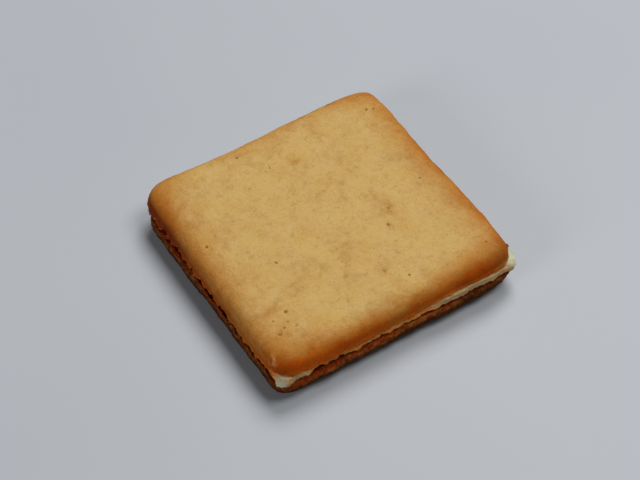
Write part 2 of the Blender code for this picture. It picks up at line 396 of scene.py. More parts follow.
def pores(x, y, seed):
    """How strongly each point lies in one of many tiny pores at random places."""
    draw = random.Random(seed)
    total = np.zeros_like(x)
    for _ in range(PORE_COUNT):
        place_x = draw.uniform(-PORE_REACH, PORE_REACH) * MM
        place_y = draw.uniform(-PORE_REACH, PORE_REACH) * MM
        radius = draw.uniform(*PORE_RADIUS) * MM
        near = (np.abs(x - place_x) < 3 * radius) & (np.abs(y - place_y) < 3 * radius)
        away = np.hypot(x[near] - place_x, y[near] - place_y) / radius
        total[near] += draw.uniform(*PORE_STRENGTH) * np.exp(-away * away)
    return clipped(total)


# How the browning fades inwards from each side, baked face up: amount at the rim, width, and sharpness
BAKING = {
    "-y": (1.02, 2.6 * MM, 1.30),
    "-x": (0.68, 3.8 * MM, 1.15),
    "+x": (0.80, 4.2 * MM, 1.30),
    "+y": (0.50, 3.4 * MM, 1.30),
}
# How much less that is at the ends of the -y side, and the part that the +x side loses towards +y
LESS_AT_ENDS, LESS_AT_BACK = 0.12, 0.35
# The most that the rim gets, how much less that is near the x sides, and how far noise moves the browning
MOST_BAKE, LESS_MOST = 0.96, 0.06
BROWN_WANDER, FINE_BROWN_WANDER = 0.55 * MM, 0.25 * MM


def browning(x, y, seed):
    """How brown the baked face is, from 0 in the middle to about 1 at the rim."""
    wander = BROWN_WANDER * layer("browning", x, y, seed=seed)
    wander = wander + FINE_BROWN_WANDER * layer("fine browning", x, y, seed=seed)
    inwards = {"-y": y, "-x": x, "+x": -x, "+y": -y}
    pale = np.ones_like(x)
    for side, (amount, width, sharpness) in BAKING.items():
        if side == "-y":
            amount = amount - LESS_AT_ENDS * past(np.abs(x), 15.0, 22.0)
        elif side == "+x":
            amount = amount * (1.0 - LESS_AT_BACK * past(y, 6.0, 22.0))
        distance = np.maximum(SIDE / 2 + inwards[side] + wander, 0.0)
        pale *= 1.0 - clipped(amount * np.exp(-((distance / width) ** sharpness)))
    return np.minimum(1.0 - pale, MOST_BAKE - LESS_MOST * past(np.abs(x), 18.0, 24.0))


def biscuit(name, corners, dimples, dents, seed, material, upper):
    """A biscuit with its flat face down at z = 0 and its baked face up, with relief and colour values."""
    u, v, faces, rim = grid_and_rim(CELLS)
    x, y, ring = ring_point(u, v, corners, CROWDING)
    inward = LIP_REACH * ring
    inset = inset_of(x, y, corners)
    height = crown_height(inset + inward) - crown_relief(x, y, inset, dimples, seed)
    layers = [(x, y, height, inward, ring)]
    edge = np.ones(RIM_POINTS)
    for row in range(1, SIDE_ROWS + 1):
        level = WALL_HEIGHT * (1.0 - row / SIDE_ROWS) * edge
        layers.append((x[rim], y[rim], level, rim_inset(level), edge))
    for step in UNDER_INSETS:
        layers.append((x[rim], y[rim], 0 * edge, rim_inset(0 * edge) + step * MM, edge))
    points = []
    for lx, ly, lz, linward, lring in layers:
        outward = (outline_shift(lx, ly, lz, dents, seed) - linward) * lring**4
        points.append(moved_out(lx, ly, outward, lz))
    loops = [rim] + loops_from(CROWN_POINTS, RIM_POINTS, len(layers) - 1)
    all_faces = np.concatenate([faces] + [band(a, b) for a, b in zip(loops, loops[1:])])
    obj = make_object(name, np.concatenate(points), all_faces, [loops[-1][::-1]], material)
    dress_biscuit(obj, corners, seed, upper)
    return obj


# Notches in the upper biscuit's left lip: distance from the left corner, half width and depth, in millimetres
NOTCHES = (
    (7.4, 0.8, 0.8), (10.8, 0.8, 1.1), (13.2, 0.4, 0.5), (16.3, 1.1, 1.2),
    (19.6, 0.4, 0.4), (22.2, 0.6, 1.0), (25.4, 0.4, 0.5), (30.2, 0.8, 0.9),
    (33.0, 0.4, 0.3), (35.4, 0.5, 0.6), (39.5, 0.4, 0.2), (43.6, 0.4, 0.25),
    (47.0, 0.4, 0.2),
)
# How much of the lip's hang each row under the rim takes, inwards
HANG_INWARDS = (0.85, 0.55, 0.2, 0.0, 0.0, 0.0, 0.0, 0.0)
# How far up the lip's hang or rise fades out, how sharply, and how far a hanging lip leans outwards
HANG_FADE, RISE_FADE, FADE_SHARPNESS, HANG_LEAN = 0.85 * MM, 1.6 * MM, 1.2, 0.30
# The left lip's hang, and how much less it is towards the near corner, in millimetres
LIP_HANG, LESS_HANG = 0.98, 0.10
# How far the front lip stands up on the right, towards the near corner and at that corner, in millimetres
RIGHT_RISE, NEAR_RISE, CORNER_RISE = 0.88, 0.42, 0.75
# How far the lower rim stands up on the left, more near the front there, and along the front, in millimetres
LEFT_LEDGE, NEAR_LEDGE, FRONT_LEDGE = 0.12, 0.80, 0.15


def from_left_corner(y):
    """Distance from the left corner along the left side, in millimetres."""
    return SIDE / 2 / MM - y / MM


def lip_hang(x, y):
    """How far the upper lip hangs down on the left, or stands up at the front, below zero, in millimetres."""
    along = from_left_corner(y)
    there = past(-x, 24.5, 26.5) * smooth(along, 1.5, 5.0) * (1.0 - smooth(along, 48.5, 52.0))
    toward_near = smooth(along, 24.0, 29.0)
    uneven = 0.20 * layer("lip", x, y) + 0.14 * layer("broad lip", x, y)
    hang = LIP_HANG - LESS_HANG * toward_near + uneven * (1.0 - 0.5 * toward_near)
    for place, half_width, deep in NOTCHES:
        hang = hang - deep * clipped(1.15 - np.abs(along - place) / half_width) ** 0.8
    rise = RIGHT_RISE * past(x, 5.0, 10.0) * (1.0 - past(x, 23.0, 26.0)) + NEAR_RISE * past(-x, 16.5, 20.5)
    rise_at_corner = CORNER_RISE * (past(-x, 20.5, 23.0) * past(-y, 21.5, 24.0))
    return there * hang - np.maximum(past(-y, 24.0, 26.0) * rise, rise_at_corner)


def seam_rise(x, y):
    """How far the lower rim stands up into the seam, in millimetres. That biscuit is made upside down and
    turned over later, so that its front side lies at the larger y here."""
    left = past(-x, 24.5, 26.5) * (1.0 - past(np.abs(y), 22.5, 25.5))
    front = past(y, 24.5, 26.5) * (1.0 - past(np.abs(x), 22.5, 25.5))
    uneven = 1.0 + 0.5 * layer("ledge", x, y) + 0.4 * layer("broad ledge", x, y)
    return (LEFT_LEDGE * left + NEAR_LEDGE * left * past(y, -9.0, 1.0) + FRONT_LEDGE * front) * uneven


class Skin:
    """A biscuit's bare points, with the masks and the noise that relief and colours share."""

    def __init__(self, obj, corners, seed, upper):
        x, y, z = points_of(obj).T.copy()
        self.x, self.y, self.z, self.seed, self.upper = x, y, z, seed, upper
        self.inset = inset_of(x, y, corners)
        row = (np.arange(len(x)) - CROWN_POINTS) // RIM_POINTS
        self.under = row >= SIDE_ROWS
        self.row_inwards = row[self.under] - SIDE_ROWS
        self.sides = 1.0 - past(z, 0.9, 2.2)
        self.wall = 1.0 - past(z, 0.5, 1.6)
        self.lip = clipped(1.0 - z / (0.7 * MM))
        self.front_wall = past(-y if upper else y, 24.5, 26.5)
        self.left_wall = past(-x, 25.0, 26.5)
        self.tan_lip = past(x, 3.0, 9.0)
        self.grain = self.noise("grain", z)
        self.fine = self.noise("fine grain", z)
        self.broad = self.noise("broad grain", z)
        self.crumb = self.noise("crumb", 1.4 * z)
        self.fine_crumb = self.noise("fine crumb", z)
        self.rag = self.noise("rag") + 0.6 * self.noise("broad rag")
        self.pores = pores(x, y, int(seed)) * ((self.inset > 1.2 * MM) & (z > 2.0 * MM))
        self.dots, self.flakes, self.near_patch = 0 * x, 0 * x, 0 * x
        if upper:
            self.dots = clipped(spread(x, y, DOTS)) * (z > 1.5 * MM)
            self.flakes = clipped(spread(x, y, FLAKES)) * (z > 1.5 * MM)
            width, length = NEAR_PATCH_SIZE
            away = np.hypot((x - NEAR_PATCH[0] * MM) / (width * MM), (y - NEAR_PATCH[1] * MM) / (length * MM))
            self.near_patch = np.exp(-away**4) * smooth(self.crumb + 0.8 * self.fine_crumb, -0.35, 0.25)

    def noise(self, name, z=None):
        return layer(name, self.x, self.y, z, self.seed)


def hang_of(skin):
    """How far each point goes down with its lip, or up below zero, in millimetres."""
    hanging = lip_hang(skin.x, skin.y) if skin.upper else seam_rise(skin.x, skin.y)
    fade = np.where(hanging < 0.0, RISE_FADE, HANG_FADE)
    share = clipped(1.0 - skin.z / fade) ** FADE_SHARPNESS
    share[skin.under] = np.take(HANG_INWARDS, skin.row_inwards)
    return hanging * share


# Heights and depths of the fine relief, in millimetres
GRAIN, FINE_GRAIN, BROAD_GRAIN, WRINKLE = 0.050, 0.040, 0.050, 0.055
CRUMB, FINE_CRUMB, RAG = 0.24, 0.16, 0.22
PORE, DOT, FLAKE, PATCH = 0.060, 0.09, 0.06, 0.14
# How much fuller the lower shoulder is on the left, more at its far part, and along the front, more in two
# steps towards the right, in millimetres
FULLER_LEFT, FULLER_FAR = 0.14, 0.44
FULLER_FRONT, FULLER_RIGHT, FULLER_FAR_RIGHT = 0.28, 0.25, 0.20
# Beyond this height the lower biscuit doesn't swell, so that it rests on its level spot
REST_HEIGHT = 3.0 * MM


def fuller_shoulder(x, y, z):
    shoulder = np.exp(-(((z - 1.4 * MM) / (0.8 * MM)) ** 2))
    left = past(-x, 24.0, 26.0) * (FULLER_LEFT + FULLER_FAR * past(-y, -2.0, 6.0))
    more = FULLER_RIGHT * past(x, -7.0, -1.0) + FULLER_FAR_RIGHT * past(x, 6.0, 10.0)
    front = past(y, 24.0, 26.0) * (FULLER_FRONT + more * (1.0 - past(x, 17.0, 24.0)))
    return shoulder * np.maximum(left, front)


def relief_of(skin):
    """How far each point stands out along its normal, in millimetres."""
    x, y, z = skin.x, skin.y, skin.z
    ridge = layer("wrinkle", 1.7 * x + 0.5 * y, 1.1 * y - 0.4 * x, z, skin.seed)
    wrinkle = clipped(1.0 - np.abs(ridge) * 6.0) * smooth(skin.noise("wrinkled part", z), 0.0, 0.3)
    shift = GRAIN * skin.grain + FINE_GRAIN * skin.fine + BROAD_GRAIN * skin.broad + WRINKLE * wrinkle
    rough = 0.8 * skin.lip + 0.25 * skin.sides if skin.upper else skin.sides
    shift += rough * (CRUMB * skin.crumb + FINE_CRUMB * skin.fine_crumb)
    shift += skin.lip * ~skin.under * (RAG * skin.rag)
    shift -= PORE * skin.pores + DOT * skin.dots
    shift += FLAKE * skin.flakes * (0.5 + skin.fine)
    if skin.upper:
        shift += PATCH * skin.near_patch * (0.4 + skin.fine_crumb)
        flat = skin.under & (skin.inset > 0.8 * MM)
    else:
        shift += fuller_shoulder(x, y, z)
        flat = skin.under & (skin.inset > 0.8 * MM) | (z > REST_HEIGHT)
    return np.where(flat, np.minimum(shift, 0.0), shift)


# How brown the walls are, more at the front and on the left, and less on the right of the upper biscuit
WALL_BAKE, MORE_BAKE, TAN_LESS_BAKE = 0.60, 0.37, 0.45
# How far noise moves the soft patches
PATCH_WARP = 0.9 * MM


def bake_of(skin):
    x, y, wall = skin.x, skin.y, skin.wall
    bake = browning(x, y, skin.seed)
    wall_bake = WALL_BAKE + MORE_BAKE * np.maximum(skin.front_wall, 0.75 * skin.left_wall)
    if skin.upper:
        bake = bake * (1.0 - 0.30 * skin.tan_lip * wall)
        wall_bake = wall_bake - TAN_LESS_BAKE * skin.tan_lip
    bake = np.maximum(bake, wall_bake * wall)
    if skin.upper:
        bake += spread(x, y, BROWN_PLACES)
    return bake + (0.05 * skin.broad + 0.05 * skin.sides * skin.crumb)


def patches_of(skin):
    """The soft darker patches; the lower biscuit has the same ones, turned."""
    warp_x = skin.x + PATCH_WARP * skin.noise("patch x")
    warp_y = skin.y + PATCH_WARP * skin.noise("patch y")
    patches = spread(warp_x, warp_y, PATCHES) if skin.upper else spread(-warp_y, warp_x, PATCHES)
    return clipped(patches) * (skin.z > 1.5 * MM) * (0.75 + 0.7 * skin.grain)


def upper_sides(skin, hanging):
    """How crumbly and red the upper biscuit's sides are, and where shade is painted on them."""
    x, y, z, left_wall = skin.x, skin.y, skin.z, skin.left_wall
    crumbly = clipped(0.75 * (1.0 - z / (0.55 * MM))) * smooth(skin.rag, -0.35, 0.25)
    notched = smooth(-hanging, -0.10, 0.10) * clipped(1.0 - z / (0.5 * MM)) * left_wall
    along = from_left_corner(y)
    # the dark end by the left corner: redder, and with painted shade
    dark_end = past(-x, 24.0, 26.5) * smooth(along, 1.5, 5.0) * (1.0 - smooth(along, 14.0, 28.0))
    dark_end = dark_end * (1.0 - past(z, 0.9, 2.6))
    under_red = 1.0 - 0.85 * skin.tan_lip * skin.front_wall
    red = np.where(skin.under, under_red, np.maximum(0.8 * notched, 0.65 * dark_end))
    # painted shade on the left wall, and at the places listed low on the shoulder
    wall_shade = (0.30 - 0.20 * smooth(along, 34.0, 44.0)) * skin.wall * left_wall
    upper_shade = np.maximum(0.60 * dark_end, wall_shade)
    return crumbly, red, np.maximum(upper_shade, spread(x, y, PAINTED_SHADE_PLACES) * (1.0 - skin.near_patch))


# Lower biscuit's painted shade: right of the front, near corner, left wall, and the front's crevice and ledge
DARK_RIGHT, DARK_NEAR, DARK_LEFT, DARK_CREVICE, DARK_LEDGE = 0.45, 0.45, 0.40, 0.26, 0.30


def lower_sides(skin):
    """How crumbly and red the lower biscuit's sides are, and where shade is painted on them."""
    x, y, z, left_wall = skin.x, skin.y, skin.z, skin.left_wall
    shown = np.maximum(past(y, 22.0, 25.5), past(-x, 22.0, 25.5))
    crumbly = skin.sides * (0.35 + 0.65 * shown)
    # painted shade at the foot, which starts lower or higher in places, and fades out under the cookie
    later = 0.30 * MM * past(-x, -2.0, 4.0) * past(y, 24.0, 26.0)
    later = later - 0.22 * MM * left_wall * past(y, -7.0, -1.0)
    foot = past(z - later + 0.25 * MM * skin.crumb, 0.35, 0.95) * past(3.6 * MM - skin.inset, 0.0, 2.6)
    foot = foot * (0.15 + 0.85 * shown)
    crevice = (1.0 - past(z, 0.2, 0.9)) * past(y, 24.5, 26.0) * (1.0 - past(x, -12.0, -6.0))
    # more painted shade right of the front, by the near corner, on the left wall and in the crevice
    darker = np.maximum.reduce([
        DARK_RIGHT * past(x, 10.0, 16.0) * past(y, 24.0, 26.0),
        DARK_NEAR * past(-x, 20.0, 23.0) * past(y, 20.0, 23.0),
        DARK_LEFT * left_wall,
        DARK_CREVICE * crevice,
    ])
    # painted shade on the ledge under the cream
    ledge = DARK_LEDGE * past(y, 20.0, 24.0) * (1.0 - past(x, -9.0, -3.0))
    foot = np.where(skin.under, ledge, np.maximum(foot, darker + 0.6 * foot))
    # red along the rim on the left, and on the front by the near corner
    along = from_left_corner(-y)
    toward_left = past(-x, 24.0, 26.0) * smooth(along, 2.0, 5.0) * (1.0 - smooth(along, 30.0, 38.0))
    near_red = past(-x, 15.0, 18.0) * past(y, 25.0, 26.5)
    red = toward_left * clipped(1.0 - z / (0.25 * MM)) + 0.30 * near_red
    return crumbly, np.where(skin.under, 1.0, red), foot


def dress_biscuit(obj, corners, seed, upper):
    """Adds the lip's hang and the relief to a biscuit, and the values that its colours follow."""
    skin = Skin(obj, corners, seed, upper)
    hanging = hang_of(skin)
    points = points_of(obj)
    points[:, 2] -= hanging * MM
    if upper:
        points[:, 0] -= HANG_LEAN * np.maximum(hanging, 0.0) * MM
    set_points(obj, points)
    set_points(obj, points + normals_of(obj) * (relief_of(skin) * MM)[:, None])
    crumbly, red, foot = upper_sides(skin, hanging) if upper else lower_sides(skin)
    set_attributes(
        obj,
        bake=bake_of(skin),
        patch=patches_of(skin),
        pore=clipped(0.55 * skin.pores + 1.0 * skin.dots),
        pale=clipped(skin.near_patch + 0.8 * skin.flakes),
        side=np.where(skin.under, 1.0, crumbly),
        red=clipped(red),
        # where shade is painted
        foot=foot,
    )


# -------- filling

# Where the gap under the cream at the front is taller: place along X and half width in millimetres, and how
# much taller, as a part of half the layer
FRONT_GAPS = (
    (-19.5, 1.3, 0.75), (-14.6, 0.8, 0.60), (-12.4, 0.4, 0.15),
    (-4.6, 0.7, 0.10), (0.2, 1.0, 0.10),
)
# How high the gap reaches, from -1 to 1, and how much more to the right, less to the left and by the block
GAP_HEIGHT, GAP_MORE_RIGHT, GAP_LESS_LEFT, GAP_LESS_AT_BLOCK = -0.45, 0.41, 0.20, 0.75
# How far the cream reaches into both biscuits, so that no slit shows, and how far its top ring lies inwards
CREAM_OVERLAP, CREAM_TOP_INSET = 0.02 * MM, 2.5 * MM
# How far its top ring, and the rows under it, rise on the right and at the block, in millimetres, and how far
# it comes out there
RING_RISE_RIGHT, RING_RISE_BLOCK, RISE_RIGHT, RISE_BLOCK = 0.60, 0.50, 0.72, 0.58
OUT_AT_BLOCK, OUT_RIGHT = 0.45 * MM, 0.46 * MM
# Directions and half widths in degrees: the block's plain face, a less crumbly part, and the bulge's end
PLAIN_FACE, LESS_CRUMBLY, BULGE_END = (-135.0, 2.0), (-131.0, 4.0), (-49.0, 2.4)


def gap_edge(x, y, beside_block):
    edge = GAP_HEIGHT + GAP_MORE_RIGHT * past(x, 2.0, 8.0) - GAP_LESS_LEFT * past(-x, 5.0, 9.0)
    edge -= GAP_LESS_AT_BLOCK * beside_block
    edge += 0.07 * layer("gap", x, y) + 0.09 * layer("fine gap", x, y)
    for place, half_width, taller in FRONT_GAPS:
        edge += taller * np.exp(-(((x / MM - place) / half_width) ** 2))
    return edge


def cream(material):
    """The layer of cream over the full depth between the biscuits."""
    u, v, _, rim = grid_and_rim(CREAM_CELLS)
    x, y, _ = ring_point(u[rim], v[rim], FILLING_CORNERS, 1.0)
    base = filling_reach(x, y)
    block = lobe(x, y, *NEAR_BLOCK)
    elsewhere = 1.0 - clipped(block + lobe(x, y, *RIGHT_BULGE))
    front = past(-y, 20.0, 25.0) * elsewhere
    beside_block = past(-x, 20.6, 21.6) * elsewhere
    right = front * past(x, 4.0, 9.0) * (1.0 - past(x, 22.0, 25.0))
    edge = gap_edge(x, y, beside_block)
    rough = layer("undercut", x, y)
    top = FILLING_LAYER + CREAM_OVERLAP + (RING_RISE_RIGHT * right + RING_RISE_BLOCK * block) * MM
    rings, deep = [moved_out(x, y, base - CREAM_TOP_INSET, top)], [0 * x]
    for row in range(CREAM_ROWS + 1):
        level = 1.0 - 2.0 * row / CREAM_ROWS
        rising = max(0.0, (level - 0.1) / 0.9)
        # where the cream is set back under the front; there it gets painted shade
        undercut = front * smooth(edge - level, -0.08, 0.14)
        outward = base + OUT_AT_BLOCK * front * beside_block - FILLING_BELLY * level * level
        outward = outward - undercut * (0.95 + 0.25 * rough) * MM + OUT_RIGHT * right * rising
        z = (level + 1.0) / 2 * (FILLING_LAYER + 2 * CREAM_OVERLAP) - CREAM_OVERLAP
        z = z + (RISE_RIGHT * right + RISE_BLOCK * block) * MM * rising
        rings.append(moved_out(x, y, outward, z))
        deep.append(undercut)
    loops = loops_from(0, len(rim), len(rings))
    faces = np.concatenate([band(a, b) for a, b in zip(loops, loops[1:])])
    caps = [loops[0], loops[-1][::-1]]
    obj = make_object("maple_butter_cream", np.concatenate(rings), faces, caps, material)
    dress_cream(obj, np.concatenate(deep), len(rim))
    return obj


def dress_cream(obj, deep, count):
    """Adds lumps to the cream, whose loops have count points, and values for its colours."""
    points = points_of(obj)
    x, y, z = points.T
    lump, fine = layer("cream", x, y, z), layer("fine cream", x, y, z)
    block, bulge, plain = lobe(x, y, *NEAR_BLOCK), lobe(x, y, *RIGHT_BULGE), lobe(x, y, *PLAIN_FACE)
    front = past(-y, 20.0, 25.0)
    left = past(-x, 20.0, 24.0) * (1.0 - past(np.abs(y), 22.0, 25.0))
    toward_right = past(x + 1.5 * MM * lump, 5.0, 10.0)
    crumbly = front * (1.0 - toward_right) * (1.0 - plain) * (1.0 - 0.60 * lobe(x, y, *LESS_CRUMBLY))
    dusty = front * toward_right * (1.0 - bulge)
    shift = 0.05 * lump + 0.03 * fine
    shift = shift + crumbly * (0.17 * lump + 0.14 * fine) + dusty * (0.12 * lump + 0.10 * fine)
    shift += block * (0.30 * lump + 0.26 * fine) + bulge * (0.20 * lump + 0.12 * fine)
    shift += left * (0.40 + 0.25 * lump)
    # the loops that meet the biscuits stay as they are
    shift[:2 * count] = 0.0
    shift[-count:] = 0.0
    set_points(obj, points + normals_of(obj) * (shift * MM)[:, None])
    # tan on top of the block, on the end of the bulge and on top of the right half
    height = z / FILLING_LAYER
    dust = 0.45 * block * smooth(height, 0.72, 0.95) + 0.6 * lobe(x, y, *BULGE_END)
    dust = dust + 0.55 * dusty * smooth(height, 0.80, 1.10)
    dusty = dusty * (0.70 + 1.1 * lump + 0.6 * fine) + dust * (1.0 + 0.6 * lump)
    set_attributes(
        obj,
        crumbly=clipped(crumbly * (1.05 + 0.5 * lump) + left),
        dusty=clipped(dusty),
        # painted shade of the seam: in the undercut, and on the left side away from the block
        deep=clipped(deep + left * (1.0 - block)),
        fresh=clipped(plain + bulge),
    )


# -------- materials

class Shader:
    """Builds a node material around a Principled BSDF."""

    def __init__(self, name):
        self.material = bpy.data.materials.new(name)
        self.material.use_nodes = True
        self.tree = self.material.node_tree
        self.bsdf = self.tree.nodes["Principled BSDF"]

    def add(self, kind, values=None, **settings):
        made = self.tree.nodes.new(kind)
        for key, value in settings.items():
            setattr(made, key, value)
        for key, value in (values or {}).items():
            self.put(made.inputs[key], value)
        return made

    def put(self, socket, value):
        """Links a socket to a node's output, or sets its value; colours come without alpha."""
        if isinstance(value, bpy.types.NodeSocket):
            self.tree.links.new(value, socket)
        elif isinstance(value, tuple):
            socket.default_value = (*value, 1.0)
        else:
            socket.default_value = value

    def attribute(self, name):
        return self.add("ShaderNodeAttribute", attribute_name=name).outputs["Fac"]

    def place(self):
        return self.add("ShaderNodeTexCoord").outputs["Object"]

    def noise(self, size, detail=2.0, roughness=0.5, distortion=0.0):
        """Noise from 0 to 1 with features of about this size, in metres."""
        values = {"Vector": self.place(), "Scale": 1.0 / size, "Detail": detail, "Roughness": roughness}
        values["Distortion"] = distortion
        return self.add("ShaderNodeTexNoise", values).outputs["Fac"]

    def math(self, operation, a, b=0.0, c=0.0, clamp=False):
        return self.add("ShaderNodeMath", {0: a, 1: b, 2: c}, operation=operation, use_clamp=clamp).outputs[0]

    def remap(self, value, low, high, to_low=0.0, to_high=1.0):
        values = {"Value": value, "From Min": low, "From Max": high, "To Min": to_low, "To Max": to_high}
        return self.add("ShaderNodeMapRange", values).outputs[0]

    def ramp(self, value, stops):
        made = self.add("ShaderNodeValToRGB", {"Fac": value})
        ramp = made.color_ramp
        while len(ramp.elements) < len(stops):
            ramp.elements.new(0.5)
        for element, (position, *screen) in zip(ramp.elements, stops):
            element.position = position
            element.color = (*linear(*screen), 1.0)
        return made.outputs["Color"]

    def mix(self, factor, a, b, blend="MIX"):
        made = self.add("ShaderNodeMix", data_type="RGBA", blend_type=blend)
        self.put(made.inputs[0], factor)
        self.put(made.inputs[6], a)
        self.put(made.inputs[7], b)
        return made.outputs[2]

    def spots(self, size, edge, chosen, strength):
        """Round spots in some of the cells of this size, in metres."""
        cells = self.add("ShaderNodeTexVoronoi", {"Vector": self.place(), "Scale": 1.0 / size})
        spot = self.math("MULTIPLY", self.remap(cells.outputs["Distance"], *edge),
                         self.remap(cells.outputs["Color"], *chosen))
        return self.math("MULTIPLY", spot, strength)

    def moved(self, value, noise, amount):
        """The value, moved up and down by noise."""
        return self.math("MULTIPLY_ADD", self.math("SUBTRACT", noise, 0.5), amount, value)

    def shades(self, noise, dark, light):
        """A colour that goes from dark to light with the noise."""
        return self.mix(self.remap(noise, 0.35, 0.65), dark, light)

    def dimmed(self, factor, colour, by):
        """The colour, multiplied by another one by this factor."""
        return self.mix(factor, colour, self.mix(1.0, colour, by, "MULTIPLY"))

    def covered(self, colour, name, share, over):
        """The colour, covered by another one up to this share where the attribute is high."""
        return self.mix(self.math("MULTIPLY", self.attribute(name), share, clamp=True), colour, over)

    def bump(self, height, distance, strength=1.0, under=None):
        values = {"Height": height, "Distance": distance, "Strength": strength}
        if under is not None:
            values["Normal"] = under
        return self.add("ShaderNodeBump", values).outputs["Normal"]

    def finish(self, colour, roughness, normal, **uniform):
        self.put(self.bsdf.inputs["Base Color"], colour)
        self.put(self.bsdf.inputs["Roughness"], roughness)
        self.put(self.bsdf.inputs["Normal"], normal)
        for key, value in uniform.items():
            self.bsdf.inputs[key.replace("_", " ")].default_value = value
        return self.material


def linear(*screen):
    """A screen colour, 0 to 255, as linear light."""
    shares = [value / 255.0 for value in screen]
    return tuple(c / 12.92 if c <= 0.04045 else ((c + 0.055) / 1.055) ** 2.4 for c in shares)


# Darker marks on the baked faces: size in millimetres, colour factor at the darkest, and noise level
MARKS = (
    (0.34, (0.91, 0.86, 0.73), 0.46), (0.75, (0.88, 0.81, 0.66), 0.41),
    (1.70, (0.85, 0.77, 0.65), 0.41), (4.20, (0.88, 0.80, 0.69), 0.44),
)
# Colour factors
UNCHANGED, YELLOWER = (1.0, 1.0, 1.0), (1.01, 1.00, 0.88)
# factors of the soft darker patches and of the painted shade
PATCH_FACTOR, PAINTED_SHADE_FACTOR = (0.80, 0.64, 0.44), (0.24, 0.20, 0.16)
# Colours of the dough's details; where there are two, the darker and the lighter one
PALE_GRAIN, PORE_BROWN, SPECK_BROWN = linear(226, 190, 128), linear(136, 84, 34), linear(138, 90, 40)
BAKED_RED = (linear(132, 37, 3), linear(174, 66, 12))
PALE_CRUMB = (linear(196, 132, 62), linear(226, 172, 104))
# Colours of the cream
CREAM_SHADES, FRESH_CREAM = (linear(196, 176, 120), linear(212, 196, 146)), linear(199, 200, 173)
CRUMBLY_CREAM = (linear(204, 108, 24), linear(242, 170, 72))
TAN_CREAM_COVER = (linear(172, 116, 58), linear(206, 166, 110))
# painted shade of the seam, dark red-brown
SHADED_SEAM_RED = (linear(130, 42, 7), linear(172, 74, 20))


def baked_material(name, stops, side_stops):
    """The baked dough, with its colours from pale to brown and those of its crumbly sides."""
    s = Shader(name)
    broad = s.noise(6.5 * MM, 2.0, 0.5)
    middle = s.noise(1.5 * MM, 3.0, 0.6)
    fine = s.noise(0.42 * MM, 2.0, 0.6)
    bake = s.attribute("bake")
    for noise_value, amount in ((broad, 0.36), (middle, 0.30), (fine, 0.30)):
        bake = s.moved(bake, noise_value, amount)
    colour = s.ramp(s.math("ADD", bake, 0.10), stops)
    # yellower places
    hue = s.remap(s.noise(4.0 * MM, 2.0, 0.5, 0.4), 0.35, 0.65)
    colour = s.dimmed(hue, colour, YELLOWER)
    # small darker marks of several sizes
    for size, dark, start in MARKS:
        lit = s.remap(s.noise(size * MM, 3.0, 0.65, 0.3), start - 0.16, start + 0.04)
        colour = s.mix(1.0, colour, s.mix(lit, dark, UNCHANGED), "MULTIPLY")
    # soft darker patches
    patch = s.math("MULTIPLY", s.attribute("patch"), s.remap(middle, 0.35, 0.62, 0.65, 1.15), clamp=True)
    colour = s.dimmed(patch, colour, PATCH_FACTOR)
    # pale sugar-like grains, pores with dark dots, and small dark specks
    colour = s.mix(s.spots(0.42 * MM, (0.16, 0.05), (0.62, 0.75), 0.35), colour, PALE_GRAIN)
    pore = s.remap(s.moved(s.attribute("pore"), fine, 0.5), 0.34, 0.64)
    colour = s.mix(s.math("MULTIPLY", pore, 0.85), colour, PORE_BROWN)
    colour = s.mix(s.spots(0.9 * MM, (0.15, 0.08), (0.66, 0.70), 0.42), colour, SPECK_BROWN)
    # crumbly, unevenly baked sides, red places and painted shade on them, and pale crumb
    mottle = s.noise(0.95 * MM, 3.0, 0.7, 0.5)
    colour = s.covered(colour, "side", 0.9, s.ramp(s.remap(mottle, 0.30, 0.70), side_stops))
    colour = s.covered(colour, "red", 0.92, s.shades(fine, *BAKED_RED))
    # painted shade, dimming the colour
    foot = s.math("MULTIPLY", s.attribute("foot"), 1.0, clamp=True)
    colour = s.dimmed(foot, colour, PAINTED_SHADE_FACTOR)
    colour = s.covered(colour, "pale", 0.6, s.shades(fine, *PALE_CRUMB))
    roughness = s.remap(middle, 0.3, 0.7, 0.74, 0.88)
    low = s.bump(s.noise(0.55 * MM, 3.0, 0.65), 0.12 * MM, 1.0)
    normal = s.bump(s.noise(0.22 * MM, 2.0, 0.6), 0.055 * MM, 1.0, low)
    return s.finish(colour, roughness, normal, Specular_IOR_Level=0.10)


def cream_material():
    s = Shader("maple_butter_cream")
    middle = s.noise(1.1 * MM, 3.0, 0.6)
    fine = s.noise(0.30 * MM, 2.0, 0.6)
    colour = s.mix(s.remap(middle, 0.3, 0.7), *CREAM_SHADES)
    colour = s.covered(colour, "fresh", 0.8, FRESH_CREAM)
    colour = s.covered(colour, "dusty", 0.85, s.shades(fine, *TAN_CREAM_COVER))
    colour = s.covered(colour, "crumbly", 0.95, s.shades(fine, *CRUMBLY_CREAM))
    # painted shade in the undercut and on the left side
    colour = s.covered(colour, "deep", 0.95, s.shades(fine, *SHADED_SEAM_RED))
    roughness = s.remap(fine, 0.3, 0.7, 0.50, 0.70)
    low = s.bump(s.noise(0.45 * MM, 3.0, 0.6), 0.08 * MM, 0.9)
    normal = s.bump(s.noise(0.14 * MM, 2.0, 0.6), 0.020 * MM, 0.8, low)
    return s.finish(
        colour, roughness, normal, Specular_IOR_Level=0.3, Subsurface_Weight=0.15, Subsurface_Scale=0.4 * MM
    )


# Colours of the baked faces from pale to brown, and of the crumbly sides from dark to light: position on the
# ramp, and red, green and blue on a screen
TOP_STOPS = (
    (0.00, 207, 173, 112), (0.12, 204, 169, 107), (0.30, 197, 153, 90), (0.50, 188, 131, 64),
    (0.70, 178, 111, 42), (0.85, 177, 97, 22), (1.00, 186, 82, 0),
)
